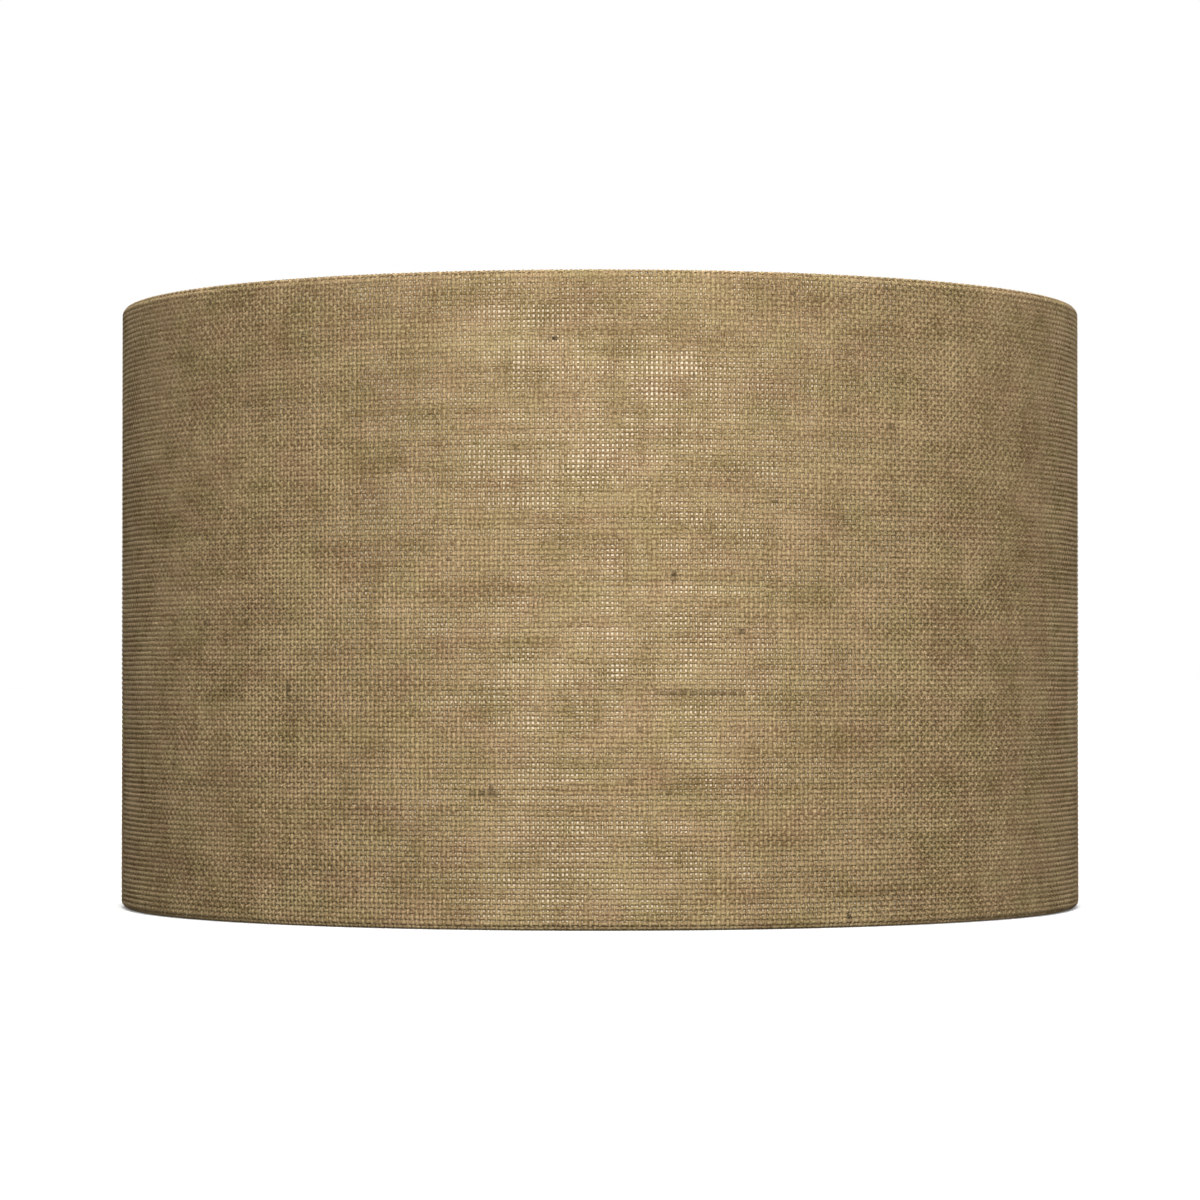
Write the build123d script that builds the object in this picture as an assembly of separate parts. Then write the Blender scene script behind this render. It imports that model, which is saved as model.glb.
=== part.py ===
from build123d import *
import os
from math import cos, degrees, radians, sin

# A drum lamp shade with rolled edges: woven jute laminated on a stiff white liner, two wire
# rings in the hems, and a dropped three-armed carrier with a loose reducer in its middle.
# Millimetres. +Z is up. The origin is on the shade's axis, level with its bottom edge.
# The seams are at the back, on the +Y side.

# Overall sizes
shade_diameter = 400.0  # outside of the woven wall
shade_height = 250.0  # over both rolled hems

# The laminated wall
fabric_thickness = 0.8
backing_thickness = 0.4
adhesive_film = 0.05  # the glue line on each bonded face
fabric_lap = 12.0
backing_lap = 10.0
lap_step = 3.0  # length over which a sheet climbs onto its own other end
seam_angle = 90.0  # degrees from +X to the middle of both lapped seams
seam_tape_thickness = 0.1
seam_tape_inset = 1.5  # from the tape to each side of its lap

# The rings and the hems round them
ring_wire_diameter = 3.5
ring_tape_thickness = 0.15
ring_tape_wrap = 120.0  # degrees of the wire's section that the tape covers
hem_clearance = 0.1  # between the wire and the cloth drawn round it
hem_wrap = 300.0  # degrees of the roll, from the wall over the wire to the raw edge
hem_slit_clearance = 0.4  # round each arm where it leaves the top hem
lap_end_clearance = 0.5  # from the liner's lap to each hem

# The carrier
spoke_count = 3
first_spoke_angle = -90.0  # degrees from +X
spoke_wire_diameter = 3.0
spoke_lead_in = 12.0  # level length of an arm before it bends down
spoke_slope_run = 20.0  # how far in an arm runs while it drops
spoke_bend_radius = 8.0
fitter_drop = 35.0  # from the top edge to the carrier ring's top face
fitter_bore_diameter = 44.0
fitter_land = 5.0  # width of the carrier ring's flat
fitter_metal = 1.2
fitter_skirt = 6.0  # height of the skirt that the arms are welded to
spoke_weld_depth = 3.0  # from the carrier ring's top face to the arms' centreline

# The reducer, which drops into the carrier ring
reducer_bore_diameter = 29.0
reducer_fit = 0.2  # clearance all round its spigot
reducer_flange_overlap = 2.5  # how far its flange lies over the carrier ring
reducer_flange_thickness = 1.5
reducer_wall = 1.8
reducer_spigot = 6.0
grip_notch_radius = 3.0
grip_notch_depth = 1.2
grip_notch_count = 3

# Places that follow from the sizes above
wall_outside = shade_diameter / 2
wall_inside = wall_outside - fabric_thickness
backing_outside = wall_inside - adhesive_film
backing_inside = backing_outside - backing_thickness
wire_radius = ring_wire_diameter / 2
tape_outside = wire_radius + ring_tape_thickness
ring_radius = backing_inside - adhesive_film - tape_outside
hem_inner_edge = ring_radius - wire_radius - hem_clearance - fabric_thickness
roll_radius = (wall_outside - hem_inner_edge) / 2
roll_centre = wall_outside - roll_radius
hem_levels = {"bottom": roll_radius, "top": shade_height - roll_radius}
fitter_top = shade_height - fitter_drop
fitter_bore = fitter_bore_diameter / 2
fitter_outside = fitter_bore + fitter_land
spoke_radius = spoke_wire_diameter / 2
spoke_level = fitter_top - spoke_weld_depth
reducer_bore = reducer_bore_diameter / 2


def curved_strip(centre, inner, outer, start, sweep):
    """A flat strip between two arcs about one centre, closed by a line at each end."""
    outside = CenterArc(centre, outer, start, sweep)
    inside = CenterArc(centre, inner, start, sweep)
    ends = [Line(outside @ end, inside @ end) for end in (0, 1)]
    return make_face([outside, inside, *ends])


def turned(section):
    """A section drawn as (radius, height), turned about the shade's axis."""
    return revolve(Plane.XZ * section, axis=Axis.Z)


def block(low_radius, high_radius, low, high):
    """A rectangular section between two radii and two levels."""
    width, height = high_radius - low_radius, high - low
    return Pos(low_radius, low) * Rectangle(width, height, align=(Align.MIN, Align.MIN))


def arc_angle(length, radius):
    return degrees(length / radius)


def lap_angles(lap, radius):
    """Where a seam's step starts, where the lap starts and where it ends, in degrees."""
    half = arc_angle(lap, radius) / 2
    lap_start = seam_angle - half
    return lap_start - arc_angle(lap_step, radius), lap_start, seam_angle + half


def lap_plan(face_radius, thickness, lap, side):
    """The lapped end of a sheet in plan: a step off the sheet's face, then the lap itself.

    side is 1 for a lap on the outside of the sheet and -1 for one on its inside.
    """
    step_start, lap_start, lap_end = lap_angles(lap, face_radius)
    near = face_radius + side * seam_tape_thickness
    far = near + side * thickness
    rooted = face_radius - side * thickness / 2

    def at(radius, angle):
        return radius * cos(radians(angle)), radius * sin(radians(angle))

    outline = [
        at(rooted, step_start),
        at(face_radius, step_start),
        at(far, lap_start),
        at(rooted, lap_start),
    ]
    step = make_face(Polyline(*outline, close=True))
    strip = curved_strip(
        (0, 0), min(near, far), max(near, far), lap_start, lap_end - lap_start
    )
    return [step, strip]


def raised(plans, low, high):
    """Plan faces made solid between two levels."""
    return [extrude(Pos(0, 0, low) * plan, amount=high - low) for plan in plans]


def seam_tape(face_radius, lap, side, low, high):
    """The tape in a lapped seam, which fills the gap under the lap."""
    _, lap_start, lap_end = lap_angles(lap, face_radius)
    inset = arc_angle(seam_tape_inset, face_radius)
    other = face_radius + side * seam_tape_thickness
    plan = curved_strip(
        (0, 0),
        min(face_radius, other),
        max(face_radius, other),
        lap_start + inset,
        lap_end - lap_start - 2 * inset,
    )
    return raised([plan], low, high)[0]


def spoke_angles():
    return [first_spoke_angle + k * 360 / spoke_count for k in range(spoke_count)]


def fabric_cover():
    """The woven wall with a hem rolled round each ring, slit where the arms come out."""
    section = block(wall_inside, wall_outside, hem_levels["bottom"], hem_levels["top"])
    for end, turn in (("bottom", -1), ("top", 1)):
        section += curved_strip(
            (roll_centre, hem_levels[end]),
            roll_radius - fabric_thickness,
            roll_radius,
            0,
            turn * hem_wrap,
        )
    cover = turned(section)
    for lap in raised(
        lap_plan(wall_outside, fabric_thickness, fabric_lap, 1),
        hem_levels["bottom"],
        hem_levels["top"],
    ):
        cover += lap
    slit_half_width = spoke_radius + hem_slit_clearance
    slit_depth = roll_radius + hem_slit_clearance
    slit_length = ring_radius - hem_inner_edge + hem_slit_clearance
    slit = Box(
        slit_length,
        2 * slit_half_width,
        slit_depth,
        align=(Align.MAX, Align.CENTER, Align.MAX),
    )
    slit += Rot(0, -90, 0) * Cylinder(
        slit_half_width, slit_length, align=(Align.CENTER, Align.CENTER, Align.MIN)
    )
    for angle in spoke_angles():
        cover -= Rot(0, 0, angle) * Pos(ring_radius, 0, hem_levels["top"]) * slit
    return cover


def backing_sheet():
    """The stiff liner, from ring to ring, lapped on its inside between the hems."""
    section = block(
        backing_inside, backing_outside, hem_levels["bottom"], hem_levels["top"]
    )
    sheet = turned(section)
    for lap in raised(
        lap_plan(backing_inside, backing_thickness, backing_lap, -1), *liner_lap_levels()
    ):
        sheet += lap
    return sheet


def liner_lap_levels():
    margin = 2 * roll_radius + lap_end_clearance
    return margin, shade_height - margin


def wire_ring(end):
    return turned(Pos(ring_radius, hem_levels[end]) * Circle(wire_radius))


def ring_tape(end):
    """Tape on the outer side of a ring's wire, between the wire and the liner."""
    centre = (ring_radius, hem_levels[end])
    strip = curved_strip(
        centre, wire_radius, tape_outside, -ring_tape_wrap / 2, ring_tape_wrap
    )
    return turned(strip)


def fitter_ring():
    """The pressed carrier ring: a flat land round the bore and a skirt at its edge."""
    land = block(fitter_bore, fitter_outside, fitter_top - fitter_metal, fitter_top)
    skirt = block(
        fitter_outside - fitter_metal,
        fitter_outside,
        fitter_top - fitter_skirt,
        fitter_top,
    )
    ring = turned(land + skirt)
    rim = ring.edges().filter_by(GeomType.CIRCLE).group_by(Axis.Z)[-1].sort_by(Edge.length)[-1]
    return fillet(rim, fitter_metal / 2)


def spoke(angle, neighbours):
    """One arm: level out of the top ring, down a slope, level into the carrier ring."""
    bend_start = ring_radius - spoke_lead_in
    route = [
        (ring_radius, 0, hem_levels["top"]),
        (bend_start, 0, hem_levels["top"]),
        (bend_start - spoke_slope_run, 0, spoke_level),
        (fitter_outside - fitter_metal / 2, 0, spoke_level),
    ]
    path = FilletPolyline(*route, radius=spoke_bend_radius)
    start = Plane(origin=route[0], z_dir=(-1, 0, 0))
    arm = Rot(0, 0, angle) * sweep(start * Circle(spoke_radius), path=path)
    for neighbour in neighbours:
        arm -= neighbour
    # The cuts leave a scrap of wire past each weld, and the arm is the largest piece.
    return arm.solids().sort_by(SortBy.VOLUME)[-1]


def reducer_ring():
    """The loose reducer: a flange, a spigot in the carrier ring and a collar at its bore."""
    flange_outside = fitter_bore + reducer_flange_overlap
    spigot_outside = fitter_bore - reducer_fit
    top = fitter_top + reducer_flange_thickness
    foot = fitter_top - reducer_spigot
    section = block(reducer_bore, flange_outside, fitter_top, top)
    section += block(spigot_outside - reducer_wall, spigot_outside, foot, fitter_top)
    section += block(reducer_bore, reducer_bore + reducer_wall, foot, fitter_top)
    ring = turned(section)
    notch = Cylinder(grip_notch_radius, 2 * reducer_flange_thickness)
    notch_centre = flange_outside + grip_notch_radius - grip_notch_depth
    for k in range(grip_notch_count):
        ring -= Rot(0, 0, k * 360 / grip_notch_count) * Pos(notch_centre, 0, top) * notch
    return ring


def build():
    nodes = {
        "fabric_cover": fabric_cover(),
        "fabric_seam_tape": seam_tape(
            wall_outside, fabric_lap, 1, hem_levels["bottom"], hem_levels["top"]
        ),
        "backing_sheet": backing_sheet(),
        "backing_seam_tape": seam_tape(
            backing_inside, backing_lap, -1, *liner_lap_levels()
        ),
        "top_ring": wire_ring("top"),
        "bottom_ring": wire_ring("bottom"),
        "ring_tape_top": ring_tape("top"),
        "ring_tape_bottom": ring_tape("bottom"),
        "fitter_ring": fitter_ring(),
        "reducer_ring": reducer_ring(),
    }
    welded_to = [nodes["top_ring"], nodes["fitter_ring"]]
    for number, angle in enumerate(spoke_angles(), start=1):
        nodes[f"spoke_{number}"] = spoke(angle, welded_to)
    return nodes


os.makedirs("parts", exist_ok=True)
for name, solid in build().items():
    export_step(solid, f"parts/{name}.step")
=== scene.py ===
from math import cos, pi, radians, sin

import bpy
import numpy as np
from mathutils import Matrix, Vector


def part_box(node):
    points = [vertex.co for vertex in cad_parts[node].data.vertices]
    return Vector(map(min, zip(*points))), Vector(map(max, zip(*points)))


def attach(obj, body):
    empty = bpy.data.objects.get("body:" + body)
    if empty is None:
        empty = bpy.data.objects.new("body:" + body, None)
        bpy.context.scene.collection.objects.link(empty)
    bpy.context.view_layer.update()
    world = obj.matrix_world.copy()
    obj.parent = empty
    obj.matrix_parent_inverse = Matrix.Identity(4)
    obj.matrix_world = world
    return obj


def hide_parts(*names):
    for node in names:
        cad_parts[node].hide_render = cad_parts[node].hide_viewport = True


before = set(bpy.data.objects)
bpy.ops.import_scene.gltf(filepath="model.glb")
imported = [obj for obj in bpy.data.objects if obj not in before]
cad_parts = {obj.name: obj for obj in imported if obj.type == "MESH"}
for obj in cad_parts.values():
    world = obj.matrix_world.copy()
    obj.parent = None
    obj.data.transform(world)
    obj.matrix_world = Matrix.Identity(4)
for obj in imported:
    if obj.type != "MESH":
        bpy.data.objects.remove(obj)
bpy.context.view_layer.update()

# A hessian drum shade. Everything is in metres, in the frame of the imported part: +Z up, the
# origin on the axis at the bottom edge, the front at -Y and the seams at the back.
shade = "shade"
rng = np.random.default_rng(20)

# ---------------------------------------------------------------- sizes read from the frame
ring_low, ring_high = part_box("top_ring")
spoke_low, spoke_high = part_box("spoke_1")
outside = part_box("fabric_cover")[1].x
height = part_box("fabric_cover")[1].z
wire_radius = (ring_high.z - ring_low.z) / 2
ring_radius = ring_high.x - wire_radius
spoke_radius = (spoke_high.x - spoke_low.x) / 2
spoke_count = 3
first_spoke_angle = -90  # degrees from +X
spoke_angles = [radians(first_spoke_angle + k * 360 / spoke_count) for k in range(spoke_count)]
liner_thickness = 0.0004
liner_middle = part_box("backing_sheet")[1].x - liner_thickness / 2

# ---------------------------------------------------------------- the cut cloth and its hems
cloth_thickness = 0.0008
hem_clearance = 0.0001
hem_wrap = radians(300)
hem_squeeze = 0.5  # how flat the yarns are drawn in the hems
hem_flattens_in = radians(60)  # how far round a hem they reach that flatness
slit_clearance = 0.0004  # round each arm where it leaves the top hem
lap = 0.012
lap_step = 0.003
lap_rise = 0.0013
lap_rise_lost = 0.7  # share of the lap's rise that is pressed out in the hems
seam_angle = pi / 2

middle_radius = outside - cloth_thickness / 2
roll_outer = (outside - (ring_radius - wire_radius - hem_clearance - cloth_thickness)) / 2
roll_radius = roll_outer - cloth_thickness / 2
roll_centre = outside - roll_outer
roll_length = roll_radius * hem_wrap
wall_length = height - 2 * roll_outer
cloth_height = wall_length + 2 * roll_length
girth = 2 * pi * middle_radius
cloth_length = girth + lap
start_angle = seam_angle - lap / 2 / outside
slit_half_width = spoke_radius + slit_clearance

# ---------------------------------------------------------------- the yarns
warp_pitch = 0.00187
weft_pitch = 0.00198
warp_width = 0.00128
weft_width = 0.00138
warp_swing = 0.00042  # how far a yarn's crown rises and sinks
weft_swing = 0.00028
crown_middle = 0.00074  # the crown's mean lift off the sheet's middle surface
yarn_shoulder = 0.00022  # from a yarn's crown to its shoulders
yarn_foot = -0.00010  # the foot of a yarn's sides, off the sheet's middle surface
over_half = 0.28  # a yarn keeps level for this share of a pitch each side of a crossing
under_half = 0.30
warp_count = round(cloth_length / warp_pitch)
weft_count = round(cloth_height / weft_pitch)
warp_groups = 8
weft_groups = 8
grid = (warp_count, weft_count)

# A yarn's section from foot to foot: places across its width, the drop from the crown, and
# how much painted shade it takes: a dark brown that stands in for the shade in the gaps.
across_share = np.array([-0.46, -0.5, 0, 0.5, 0.46])
across_sink = np.array([0, yarn_shoulder, 0, yarn_shoulder, 0])
across_gap_shade = np.array([1, 0.55, 0, 0.55, 1])

# What varies over the cloth is a sum of smooth random fields. Each is an amount, and its
# reach in crossings from warp to warp and from weft to weft.
warp_drift = [(0.00006, (0.8, 9)), (0.00012, (3, 20))]
weft_drift = [(0.00006, (9, 0.8)), (0.00012, (22, 3))]
closeness = [(1.0, (8, 2.5)), (0.5, (3, 12)), (0.4, (40, 12))]
closeness_fattens = 0.065
warp_fatness = [(0.10, (0.5, 4)), (0.13, (0.4, 0.8))]
weft_fatness = [(0.11, (6, 0.5)), (0.13, (0.8, 0.4))]
width_limits = (0.62, 1.48)
slub_reach = (16, 0.45)
slub_fattens = 0.05
slub_darkens = 0.075
middle_tone = 0.5
warp_tones = [(0.06, (0.6, 3)), (0.05, (3, 5))]
weft_tones = [(0.06, (3, 0.6)), (0.05, (8, 2))]

# Marks in the cloth: degrees round from the front, height, length along the yarn (all metres
# but the first), whether it lies in a weft yarn, how dark and how thick it is.
marks = [
    (11.5, 0.089, 0.034, True, 0.55, 1.10),
    (-12.6, 0.052, 0.010, True, 0.75, 1.30),
    (15.6, 0.113, 0.003, True, 1.00, 1.25),
    (-36.8, 0.092, 0.007, False, 0.80, 1.10),
    (28.3, 0.004, 0.004, False, 0.95, 1.30),
    (-4.7, 0.223, 0.003, True, 1.00, 1.00),
    (-50.5, 0.118, 0.004, True, 0.80, 1.10),
    (-57.8, 0.061, 0.004, False, 0.80, 1.10),
    (-47.0, 0.054, 0.048, True, 0.30, 1.05),
    (8.1, 0.135, 0.003, False, 0.80, 1.20),
    (66.5, 0.139, 0.006, False, 0.60, 1.10),
    (66.4, 0.172, 0.003, False, 0.70, 1.10),
    (28.4, 0.198, 0.003, True, 0.60, 1.20),
    (34.2, 0.193, 0.003, True, 0.60, 1.20),
    (-43.5, 0.117, 0.004, True, 0.70, 1.20),
    (-41.2, 0.106, 0.003, True, 0.70, 1.10),
    (150.0, 0.160, 0.020, True, 0.50, 1.15),
    (205.0, 0.090, 0.008, False, 0.80, 1.20),
    (118.0, 0.210, 0.005, True, 0.80, 1.20),
    (255.0, 0.050, 0.014, True, 0.60, 1.30),
]
mark_strength = (0.6, 1)
mark_on_crossing_yarns = (0.3, 0.7)
warp_fleck_share = 0.0016
weft_fleck_share = 0.0020
fleck_strength = (0.2, 0.7)

# Loose fibres on the cloth: degrees round from the front, height, length, lean in degrees off
# level, how far the fibre bows as a share of its length, and how dark it is.
loose_fibres = [
    (-71.4, 0.144, 0.0110, 82, 0.10, 0.00),
    (-18.7, 0.193, 0.0060, -20, 0.50, 0.75),
    (28.3, 0.0055, 0.0042, 78, 0.08, 1.00),
    (-36.8, 0.092, 0.0070, 84, 0.12, 0.80),
    (-40.8, 0.107, 0.0032, 70, 0.10, 0.85),
    (-57.0, 0.117, 0.0045, 12, 0.30, 0.80),
    (66.4, 0.139, 0.0060, 85, 0.20, 0.55),
]
loose_fibre_radius = 0.00012
hair_count = 320
hair_margin = 0.008  # from the nearest hair's middle to each edge of the shade
hair_lengths = (0.0015, 0.005)
hair_bows = (-0.5, 0.5)
hair_darks = (-0.5, 0.6)  # below 0 a hair is as pale as at 0
hair_radii = (0.00004, 0.00008)
fibre_steps = 12
fibre_sides = 5
fibre_tip_lift = 0.0005
fibre_taper = 0.7
fibre_tone = 0.8

# ---------------------------------------------------------------- studio and camera
floor_reach = 60.0
sky_band = (-0.6, -0.5, 11, 13)  # degrees up where the white behind the shade starts and ends
overhead = 0.02  # how bright the rest of the sky is
lamp_levels = {"front": 8.1, "floor": 2.6, "back": 1.6}
camera_distance = 1.875
camera_level = 0.0932
camera_tilt = 1.08  # degrees up
sensor_width = 36
focal_share = 3.70

# ---------------------------------------------------------------- finishes
generated, object_space = 0, 3  # the outputs of a Texture Coordinate node
bump_depth = 0.0001
streaks_show = 1.2  # how strongly each pattern makes a yarn paler or darker
flecks_show = 2.3
shades_show = 0.7
hue_share = 0.36  # of the olive and brown patches in a yarn's colour


# ================================================================ shader sums
class Sum:
    """A shader socket that can be added, subtracted and multiplied."""

    def __init__(self, nodes, socket):
        self.nodes = nodes
        self.socket = socket

    def _with(self, operation, first, second):
        return self.nodes.node("Math", {"operation": operation}, [first, second])

    def __add__(self, other):
        return self._with("ADD", self, other)

    def __sub__(self, other):
        return self._with("SUBTRACT", self, other)

    def __rsub__(self, other):
        return self._with("SUBTRACT", other, self)

    def __mul__(self, other):
        return self._with("MULTIPLY", self, other)

    __radd__ = __add__
    __rmul__ = __mul__


class Nodes:
    """The node tree of a material or of the world."""

    def __init__(self, tree):
        self.tree = tree

    def node(self, kind, settings=None, sockets=(), output=0):
        """A node of that kind with its settings, then its sockets' values or links."""
        made = self.tree.nodes.new("ShaderNode" + kind)
        for key, value in (settings or {}).items():
            if key == "stops":
                set_stops(made.color_ramp, value)
            else:
                setattr(made, key, value)
        pairs = sockets.items() if isinstance(sockets, dict) else enumerate(sockets)
        for key, value in pairs:
            self.feed(made.inputs[key], value)
        return Sum(self, made.outputs[output])

    def feed(self, socket, value):
        if isinstance(value, Sum):
            self.tree.links.new(value.socket, socket)
        else:
            socket.default_value = value

    def parts(self, vector):
        """The three coordinates of a vector."""
        split = self.node("SeparateXYZ", sockets=[vector]).socket.node
        return [Sum(self, coordinate) for coordinate in split.outputs]

    def noise(self, place, scale, detail):
        return self.node("TexNoise", sockets={"Vector": place, "Scale": scale, "Detail": detail})

    def mix(self, share, first, second):
        """Two colours mixed by a share."""
        return self.node("Mix", {"data_type": "RGBA"}, {0: share, 6: first, 7: second}, output=2)


class Finish(Nodes):
    """A material under construction."""

    def __init__(self, name):
        self.material = bpy.data.materials.new(name)
        self.material.use_nodes = True
        super().__init__(self.material.node_tree)
        self.shader = self.tree.nodes["Principled BSDF"]

    def place(self):
        """The place on the object, in its own space."""
        return self.node("TexCoord", output=object_space)

    def bump(self, rise, strength):
        sockets = {"Strength": strength, "Distance": bump_depth, "Height": rise}
        return self.node("Bump", sockets=sockets)

    def set(self, **values):
        """Set the shader's sockets. ior is spelled in capitals on the shader."""
        for name, value in values.items():
            label = name.replace("_", " ").title().replace("Ior", "IOR")
            self.feed(self.shader.inputs[label], value)
        return self.material


def set_stops(ramp, stops):
    while len(ramp.elements) < len(stops):
        ramp.elements.new(1.0)
    for element, (place, grey) in zip(ramp.elements, stops):
        element.position = place
        element.color = (grey, grey, grey, 1)


def srgb(red, green, blue):
    """A colour given in ordinary 0 to 255 steps, as linear light."""
    steps = (np.array([red, green, blue]) / 255.0 + 0.055) / 1.055
    return (*(steps**2.4), 1.0)


# ================================================================ finishes
def jute(name, runs_round):
    """Natural jute yarn: streaks along its run, olive and brown patches, painted shade on its
    sides.
    """
    f = Finish(name)
    x, y, z = f.parts(f.place())
    turn = f.node("Math", {"operation": "ARCTAN2"}, [x, 0 - y]) * outside
    along, across = (turn, z) if runs_round else (z, turn)

    def drawn(stretch, shift, scale, detail):
        """Noise drawn out along the yarn."""
        place = f.node("CombineXYZ", sockets=[along * stretch, across, shift])
        return f.noise(place, scale, detail)

    def patch(shift, scale):
        place = f.node("CombineXYZ", sockets=[turn * 0.6, z, shift])
        return f.noise(place, scale, detail=2.0)

    def painted(key):
        return f.node("Attribute", {"attribute_name": key}, output=2)

    streaks = drawn(stretch=0.2, shift=0.0, scale=3400.0, detail=2.0)
    flecks = drawn(stretch=0.8, shift=5.0, scale=1300.0, detail=1.0)
    shades = patch(shift=1.0, scale=60.0)
    hues = patch(shift=7.0, scale=75.0)
    pale = painted("tone") + (streaks - 0.5) * streaks_show
    pale = pale + (flecks - 0.5) * flecks_show + (shades - 0.5) * shades_show
    deep = painted("deep")
    fibre = f.mix(pale, srgb(94, 69, 36), srgb(210, 186, 141))
    olive_to_brown = f.mix(hues * 3 - 1, srgb(139, 125, 79), srgb(163, 132, 101))
    colour = f.mix(hue_share, fibre, olive_to_brown)
    # Painted shade: the yarn's shoulders and feet turn dark brown, standing in for the shade in
    # the gaps.
    colour = f.mix(deep * deep, colour, srgb(56, 35, 13))
    colour = f.mix(painted("stain"), colour, srgb(46, 32, 18))
    return f.set(
        base_color=colour,
        roughness=0.85 + (streaks - 0.5) * 0.2,
        normal=f.bump(streaks, strength=0.5),
        specular_ior_level=0.12,
        sheen_weight=0.8,
        sheen_roughness=0.22,
        sheen_tint=srgb(242, 212, 166),
    )


def white_liner():
    """Stiff white liner: satin plastic, faintly clouded, and creamier on its glued face."""
    f = Finish("white_liner")
    place = f.place()
    cloud = f.noise(place, scale=30.0, detail=4.0)
    inner = f.mix(cloud, srgb(240, 232, 214), srgb(248, 241, 224))
    glued = f.mix(cloud, srgb(226, 206, 172), srgb(238, 219, 190))
    level = f.node("VectorMath", {"operation": "MULTIPLY"}, [place, (1, 1, 0)])
    reach = f.node("VectorMath", {"operation": "LENGTH"}, [level], output=1)
    is_glued = f.node("Math", {"operation": "GREATER_THAN"}, [reach, liner_middle])
    fine = f.noise(place, scale=900.0, detail=1.0)
    return f.set(
        base_color=f.mix(is_glued, inner, glued),
        roughness=0.5 + (cloud - 0.5) * 0.2,
        normal=f.bump(fine, strength=0.12),
    )


def powder_coat():
    """White powder coat on the arms and the carrier ring: a fine orange peel."""
    f = Finish("powder_coat")
    peel = f.noise(f.place(), scale=1400.0, detail=2.0)
    wear = f.noise(f.place(), scale=90.0, detail=5.0)
    return f.set(
        base_color=f.mix(wear, srgb(226, 225, 220), srgb(238, 237, 233)),
        roughness=0.32 + (wear - 0.5) * 0.2,
        normal=f.bump(peel, strength=0.25),
    )


def moulded_white():
    """The reducer's moulded plastic."""
    f = Finish("moulded_white")
    grain = f.noise(f.place(), scale=2200.0, detail=2.0)
    cloud = f.noise(f.place(), scale=60.0, detail=3.0)
    return f.set(
        base_color=f.mix(cloud, srgb(234, 233, 228), srgb(243, 243, 240)),
        roughness=0.42 + (cloud - 0.5) * 0.15,
        normal=f.bump(grain, strength=0.15),
    )


def zinc_wire():
    """Zinc plated wire inside the hems."""
    f = Finish("zinc_wire")
    cloud = f.noise(f.place(), scale=160.0, detail=4.0)
    return f.set(
        base_color=f.mix(cloud, srgb(150, 152, 153), srgb(186, 187, 187)),
        metallic=1.0,
        roughness=0.5 + (cloud - 0.5) * 0.3,
    )


def clear_tape():
    """Double-sided tape."""
    f = Finish("clear_tape")
    cloud = f.noise(f.place(), scale=120.0, detail=3.0)
    return f.set(
        base_color=f.mix(cloud, srgb(214, 206, 184), srgb(228, 222, 204)),
        roughness=0.35 + (cloud - 0.5) * 0.2,
    )


# ================================================================ the woven cloth
def softened(reach):
    """Random values spread smoothly over the grid, with reach crossings along each axis."""
    waves = np.fft.fft2(rng.normal(size=grid))
    first, second = (np.fft.fftfreq(count) * cells for count, cells in zip(grid, reach))
    waves *= np.exp(-2 * pi**2 * (first[:, None] ** 2 + second[None, :] ** 2))
    field = np.fft.ifft2(waves).real
    return field / field.std()


def varied(terms):
    """The sum of some random fields, each with its amount and its reach."""
    return sum(amount * softened(reach) for amount, reach in terms)


def lay_on_wall(along, up, lift):
    """Points of the cloth, from its length, its height and its lift off the middle surface."""
    past_bottom = np.minimum(up - roll_length, 0)
    past_top = np.maximum(up - roll_length - wall_length, 0)
    roll = (past_bottom + past_top) / roll_radius
    climb = np.clip((along - girth + lap_step) / lap_step, 0, 1)
    hem_share = np.minimum(np.abs(roll) / hem_flattens_in, 1)
    out = np.maximum(lift, 0) * (1 - (1 - hem_squeeze) * hem_share) + np.minimum(lift, 0)
    out = out + lap_rise * climb * (1 - lap_rise_lost * hem_share)
    reach = roll_centre + (roll_radius + out) * np.cos(roll)
    level = roll_outer + np.clip(up - roll_length, 0, wall_length)
    level = level + (roll_radius + out) * np.sin(roll)
    angle = start_angle + along / middle_radius
    return np.stack([reach * np.cos(angle), reach * np.sin(angle), level], axis=-1)


def between(values, places):
    """Rows of values read at fractional places along the row."""
    last = values.shape[1] - 1
    places = np.clip(places, 0, last)
    low = np.minimum(places.astype(int), last - 1)
    share = places - low
    return values[:, low] * (1 - share) + values[:, low + 1] * share


def crossings(count, first_over):
    """Places along a yarn where it is given points, and its lift there: 1 over, -1 under."""
    places, lifts = [-0.5], [0.0]
    for k in range(count):
        over = (k + first_over) % 2 == 0
        half = over_half if over else under_half
        places += [k - half, k + half]
        lifts += [1.0, 1.0] if over else [-1.0, -1.0]
    return np.array([*places, count - 0.5]), np.array([*lifts, 0.0])


def mesh_piece(name, points, polygons, material, values):
    """A smoothly shaded mesh that rides with the shade.

    Each array in polygons has faces of one size. values has a number for each point.
    """
    sizes = np.concatenate([np.full(len(faces), faces.shape[1]) for faces in polygons])
    corners = np.concatenate([faces.ravel() for faces in polygons])
    mesh = bpy.data.meshes.new(name)
    mesh.vertices.add(len(points))
    mesh.vertices.foreach_set("co", points.astype(np.float32).ravel())
    mesh.loops.add(len(corners))
    mesh.loops.foreach_set("vertex_index", corners.astype(np.int32))
    mesh.polygons.add(len(sizes))
    mesh.polygons.foreach_set("loop_start", (np.cumsum(sizes) - sizes).astype(np.int32))
    mesh.update(calc_edges=True)
    mesh.polygons.foreach_set("use_smooth", np.ones(len(sizes), bool))
    for key, value in values.items():
        layer = mesh.attributes.new(key, "FLOAT", "POINT")
        layer.data.foreach_set("value", value.astype(np.float32).ravel())
    mesh.materials.append(material)
    piece = bpy.data.objects.new(name, mesh)
    bpy.context.scene.collection.objects.link(piece)
    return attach(piece, shade)


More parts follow.
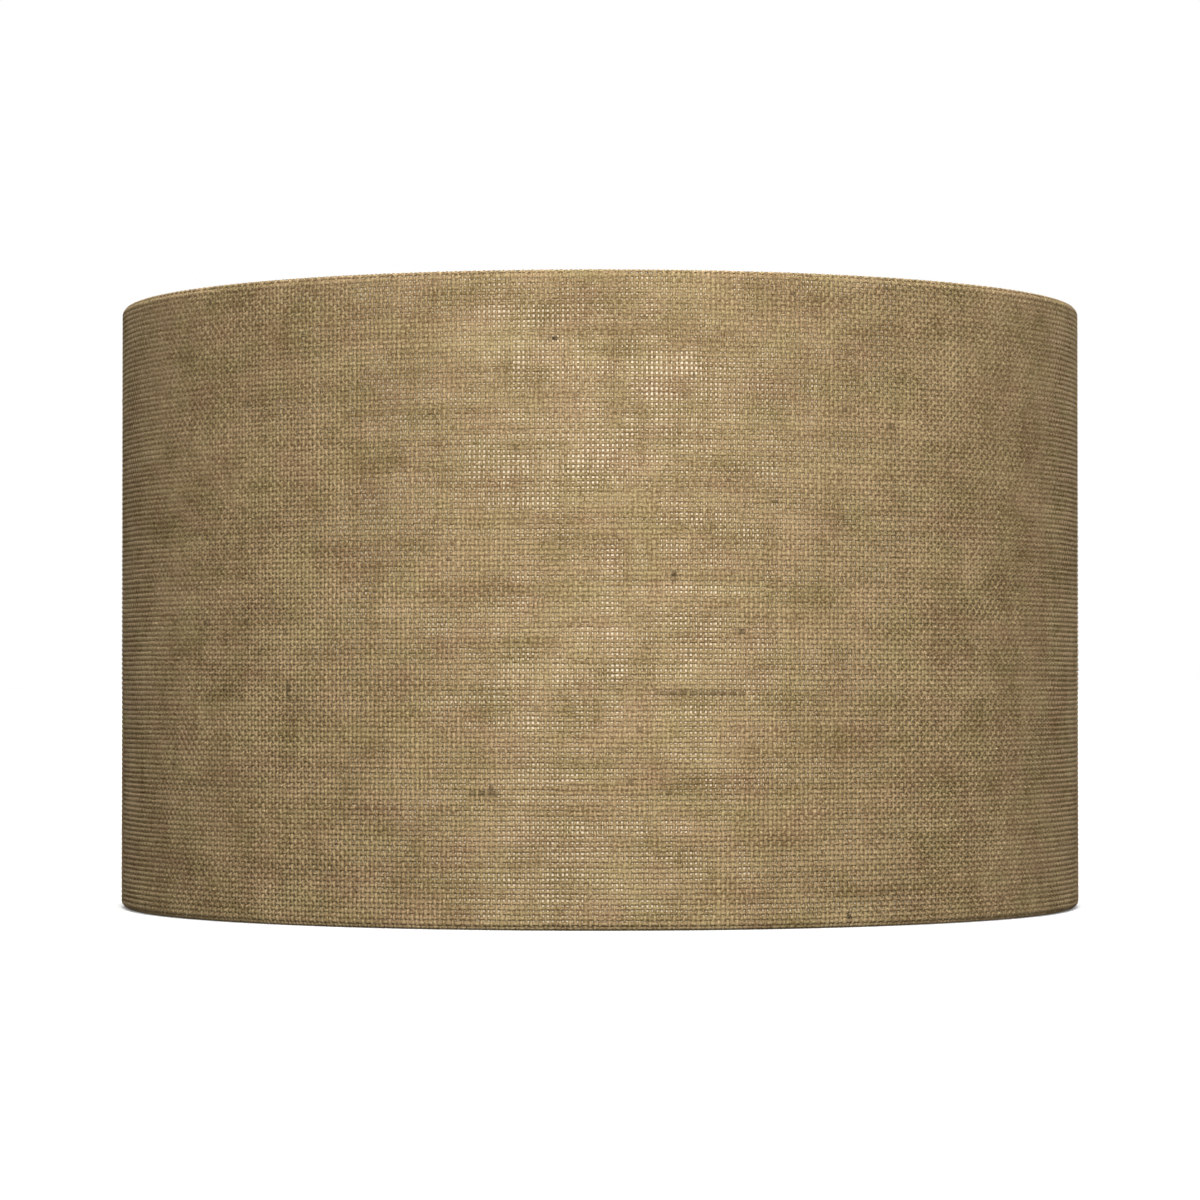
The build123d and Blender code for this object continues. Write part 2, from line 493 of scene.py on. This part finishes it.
def in_slit(points):
    """Whether points lie in one of the hem's slits, where an arm leaves the top ring."""
    x, y, z = points.T
    ring_level = height - roll_outer
    in_hem = np.hypot(x, y) < roll_centre
    in_hem &= (z < ring_level + slit_half_width) & (z > ring_level - 2 * roll_outer)
    beside_arm = np.zeros(len(points), bool)
    for angle in spoke_angles:
        across = y * cos(angle) - x * sin(angle)
        ahead = x * cos(angle) + y * sin(angle)
        beside_arm |= (np.abs(across) < slit_half_width) & (ahead > 0)
    return in_hem & beside_arm


def arched(fields, places, lifts, round_it):
    """Points along and across some yarns, which arch over and under at the places given."""
    along, up, width = (between(fields[key], places) for key in ("along", "up", "width"))
    past_end = places - np.clip(places, 0, fields["along"].shape[1] - 1)
    if round_it:
        along = along + past_end * warp_pitch
    else:
        up = up + past_end * weft_pitch
    swing = weft_swing if round_it else warp_swing
    side = width[..., None] * across_share
    lift = crown_middle + (lifts * swing)[None, :, None] - across_sink + 0 * side
    lift[..., [0, -1]] = yarn_foot
    if round_it:
        return lay_on_wall(along[..., None] + 0 * side, up[..., None] + side, lift)
    return lay_on_wall(along[..., None] - side, up[..., None] + 0 * side, lift)


def yarns(name, rows, fields, round_it, material):
    """Yarns side by side: arched strips that pass over and under their neighbours.

    rows numbers the yarns. Each of the fields has one row for each yarn and one column for
    each crossing. round_it says that the yarns run round the shade, and not up it.
    """
    blocks, quads, ends, used = [], [], [], 0
    values = {"tone": [], "stain": [], "deep": []}
    for parity in (0, 1):
        chosen = (rows + round_it) % 2 == parity
        few = {key: field[chosen] for key, field in fields.items()}
        places, lifts = crossings(few["along"].shape[1], parity)
        points = arched(few, places, lifts, round_it)
        count, length, wide = points.shape[:3]
        index = used + np.arange(count * length * wide).reshape(count, length, wide)
        near, far = index[:, :-1], index[:, 1:]
        quad = np.stack([near[..., :-1], far[..., :-1], far[..., 1:], near[..., 1:]], -1)
        quads.append(quad.reshape(-1, 4))
        ends += [index[:, 0], index[:, -1, ::-1]]
        blocks.append(points.reshape(-1, 3))
        for key in ("tone", "stain"):
            values[key].append(np.repeat(between(few[key], places).ravel(), wide))
        # How much painted shade each point takes, by its place across the yarn's section.
        values["deep"].append(np.tile(across_gap_shade, count * length))
        used += index.size
    points = np.concatenate(blocks)
    faces = [np.concatenate(quads), np.concatenate(ends)]
    faces = [part[~in_slit(points[part].mean(axis=1))] for part in faces]
    values = {key: np.concatenate(pieces) for key, pieces in values.items()}
    return mesh_piece(name, points, faces, material, values)


def yarn_places():
    """How far along and up the cut cloth each crossing lies."""
    along = (np.arange(warp_count)[:, None] + 0.5) * cloth_length / warp_count
    up = (np.arange(weft_count)[None, :] + 0.5) * cloth_height / weft_count
    along = along + varied(warp_drift)
    up = up + varied(weft_drift)
    along[0], along[-1] = along[0].mean(), along[-1].mean()
    return along, up


def yarn_looks():
    """How fat and how pale the warp and the weft are at each crossing, with nothing stained."""
    close = varied(closeness)
    close = closeness_fattens * close / close.std()
    warp_fat = 1 + varied(warp_fatness) + close
    weft_fat = 1 + varied(weft_fatness) + close
    slubs = softened(slub_reach)
    weft_fat = weft_fat + slub_fattens * slubs
    warp_tone = middle_tone + varied(warp_tones)
    weft_tone = middle_tone + varied(weft_tones) - slub_darkens * slubs
    warp = {"fat": warp_fat, "tone": warp_tone, "stain": np.zeros(grid)}
    weft = {"fat": weft_fat, "tone": weft_tone, "stain": np.zeros(grid)}
    return warp, weft


def put_marks(warp, weft):
    """Darken and thicken a stretch of yarn at each mark, and stain what crosses it."""
    for degrees_round, level, length, is_weft, dark, thick in marks:
        turn = (radians(degrees_round - 90) - start_angle) % (2 * pi)
        i = int(turn * middle_radius / cloth_length * warp_count)
        j = int((level - roll_outer + roll_length) / cloth_height * weft_count)
        half = max(1, round(length / (warp_pitch if is_weft else weft_pitch) / 2))
        if is_weft:
            own, crossing = weft, warp
            stretch = (slice(i - half, i + half), j)
        else:
            own, crossing = warp, weft
            stretch = (i, slice(j - half, j + half))
        own["stain"][stretch] = dark * rng.uniform(*mark_strength, 2 * half)
        own["fat"][stretch] *= thick
        crossing["stain"][stretch] = dark * rng.uniform(*mark_on_crossing_yarns, 2 * half)


def put_flecks(stain, share):
    """Small dark flecks in a share of the crossings."""
    chosen = rng.random(grid) < share
    stain[chosen] = np.maximum(stain[chosen], rng.uniform(*fleck_strength, chosen.sum()))


def woven_cloth():
    """Every warp and weft yarn of the cover, in a few groups of yarns that lie together."""
    along, up = yarn_places()
    warp, weft = yarn_looks()
    put_marks(warp, weft)
    put_flecks(warp["stain"], warp_fleck_share)
    put_flecks(weft["stain"], weft_fleck_share)
    for strands, width in ((warp, warp_width), (weft, weft_width)):
        strands.update(along=along, up=up)
        strands["width"] = width * np.clip(strands.pop("fat"), *width_limits)
    weft = {key: field.T for key, field in weft.items()}
    made = []
    for kind, strands, groups in (("warp", warp, warp_groups), ("weft", weft, weft_groups)):
        round_it = kind == "weft"
        material = jute(f"jute_{kind}", round_it)
        every_row = np.arange(len(strands["along"]))
        for number, rows in enumerate(np.array_split(every_row, groups), start=1):
            fields = {key: field[rows] for key, field in strands.items()}
            made.append(yarns(f"{kind}_yarns_{number}", rows, fields, round_it, material))
    return made


# ================================================================ loose fibres
def random_hair():
    """A fine hair somewhere on the cloth, in the same terms as the loose fibres."""
    return (
        rng.uniform(-180, 180),
        rng.uniform(hair_margin, height - hair_margin),
        rng.uniform(*hair_lengths),
        rng.uniform(-90, 90),
        rng.uniform(*hair_bows),
        rng.uniform(*hair_darks),
        rng.uniform(*hair_radii),
    )


def fibre_tube(degrees_round, level, length, lean, bow, radius):
    """Points of a tapered tube that lies on the cloth with one end lifted, ring by ring."""
    t = np.linspace(-1, 1, fibre_steps)
    run, off = t * length / 2, bow * length * (1 - t**2)
    across = run * cos(radians(lean)) - off * sin(radians(lean))
    up = run * sin(radians(lean)) + off * cos(radians(lean))
    angle = radians(degrees_round - 90) + across / outside
    out = np.stack([np.cos(angle), np.sin(angle), 0 * angle], axis=-1)
    reach = outside + crown_middle + fibre_tip_lift * np.maximum(t, 0) ** 2
    middle = out * reach[:, None] + np.stack([0 * up, 0 * up, level + up], axis=-1)
    tangent = np.gradient(middle, axis=0)
    side = np.cross(tangent / np.linalg.norm(tangent, axis=1)[:, None], out)
    thick = radius * (1 - fibre_taper * np.abs(t) ** 3)
    turn = np.arange(fibre_sides) * 2 * pi / fibre_sides
    ring = np.cos(turn)[:, None] * side[:, None] + np.sin(turn)[:, None] * out[:, None]
    return (middle[:, None] + thick[:, None, None] * ring).reshape(-1, 3)


def stray_fibres():
    """Loose fibre ends that lie on the cloth, as thin tubes in one piece."""
    listed = [(*fibre, loose_fibre_radius) for fibre in loose_fibres]
    hairs = [random_hair() for _ in range(hair_count)]
    tube = np.arange(fibre_steps * fibre_sides).reshape(fibre_steps, fibre_sides)
    blocks, quads, ends, stains = [], [], [], []
    for number, (*shape, dark, radius) in enumerate(listed + hairs):
        blocks.append(fibre_tube(*shape, radius))
        index = number * tube.size + tube
        after = np.roll(index, -1, axis=1)
        quads.append(np.stack([index[:-1], after[:-1], after[1:], index[1:]], -1).reshape(-1, 4))
        ends += [index[:1, ::-1], index[-1:]]
        stains.append(np.full(tube.size, max(dark, 0)))
    stains = np.concatenate(stains)
    values = {"tone": 0 * stains + fibre_tone, "stain": stains, "deep": 0 * stains}
    faces = [np.concatenate(quads), np.concatenate(ends)]
    return mesh_piece(
        "stray_fibres", np.concatenate(blocks), faces, jute("jute_fibre", True), values
    )


# ================================================================ floor, lamps and camera
def pale_floor():
    """A wide white floor. It doesn't light the shade from below."""
    f = Finish("pale_floor")
    finish = f.set(
        base_color=srgb(243, 243, 242),
        roughness=0.9,
        emission_color=srgb(255, 255, 255),
        emission_strength=0.15,
    )
    mesh = bpy.data.meshes.new("floor")
    ways = ((-1, -1), (1, -1), (1, 1), (-1, 1))
    corners = [(x * floor_reach, y * floor_reach, 0) for x, y in ways]
    mesh.from_pydata(corners, [], [(0, 1, 2, 3)])
    mesh.materials.append(finish)
    floor = bpy.data.objects.new("floor", mesh)
    bpy.context.scene.collection.objects.link(floor)
    floor.visible_diffuse = False


def studio():
    """White behind everything near the horizon, and dim overhead and below the floor."""
    world = bpy.data.worlds.new("studio")
    world.use_nodes = True
    bpy.context.scene.world = world
    sky = Nodes(world.node_tree)
    direction = sky.node("TexCoord", output=generated)
    _, _, rise = sky.parts(direction)
    share = sky.node("MapRange", sockets={"Value": rise, "From Min": -1})
    edges = [(sin(radians(angle)) + 1) / 2 for angle in sky_band]
    stops = list(zip(edges, (overhead, 1.0, 1.0, overhead)))
    shine = sky.node("ValToRGB", {"stops": stops}, [share])
    sky.feed(sky.tree.nodes["Background"].inputs["Color"], shine)


def lamp(name, kind, azimuth, elevation, distance, strength, size):
    """A soft lamp that looks at the shade's middle. azimuth is degrees round from the front.

    size is the side of a square lamp in metres, or how wide a sun looks in degrees.
    """
    light = bpy.data.lights.new(name, kind)
    light.energy = strength
    if kind == "SUN":
        light.angle = radians(size)
    else:
        light.shape = "SQUARE"
        light.size = size
    made = bpy.data.objects.new(name, light)
    turn, climb = radians(azimuth - 90), radians(elevation)
    way = Vector((cos(turn) * cos(climb), sin(turn) * cos(climb), sin(climb)))
    made.location = Vector((0, 0, height / 2)) + way * distance
    made.rotation_euler = way.to_track_quat("Z", "Y").to_euler()
    made.visible_camera = False
    bpy.context.scene.collection.objects.link(made)


def put_camera():
    """A camera in front of the shade and below its middle, tilted up a little."""
    data = bpy.data.cameras.new("camera")
    data.sensor_width = sensor_width
    data.lens = focal_share * sensor_width
    camera = bpy.data.objects.new("camera", data)
    camera.location = (0, -camera_distance, camera_level)
    camera.rotation_euler = (radians(90 + camera_tilt), 0, 0)
    bpy.context.scene.collection.objects.link(camera)
    bpy.context.scene.camera = camera


# ================================================================ the shade and its studio
for piece in woven_cloth():
    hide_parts("fabric_cover")
    if piece.name.startswith("warp"):
        flat = (cloth_length / warp_groups, cloth_height)
    else:
        flat = (cloth_height / weft_groups, cloth_length)
stray_fibres()

for material, nodes in (
    (white_liner(), ["backing_sheet"]),
    (clear_tape(), ["backing_seam_tape", "fabric_seam_tape", "ring_tape_top", "ring_tape_bottom"]),
    (zinc_wire(), ["top_ring", "bottom_ring"]),
    (powder_coat(), ["fitter_ring", *(f"spoke_{k + 1}" for k in range(spoke_count))]),
    (moulded_white(), ["reducer_ring"]),
):
    for node in nodes:
        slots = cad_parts[node].data.materials
        slots.clear()
        slots.append(material)

pale_floor()
studio()
lamp("front_light", "AREA", azimuth=1.8, elevation=8, distance=1.0,
     strength=lamp_levels["front"], size=0.22)
lamp("floor_light", "SUN", azimuth=0, elevation=89, distance=3,
     strength=lamp_levels["floor"], size=4)
for side, azimuth in (("left", -153), ("right", 153)):
    lamp(f"back_light_{side}", "SUN", azimuth=azimuth, elevation=24, distance=3,
         strength=lamp_levels["back"], size=30)
put_camera()
bpy.context.scene.view_settings.view_transform = "Standard"
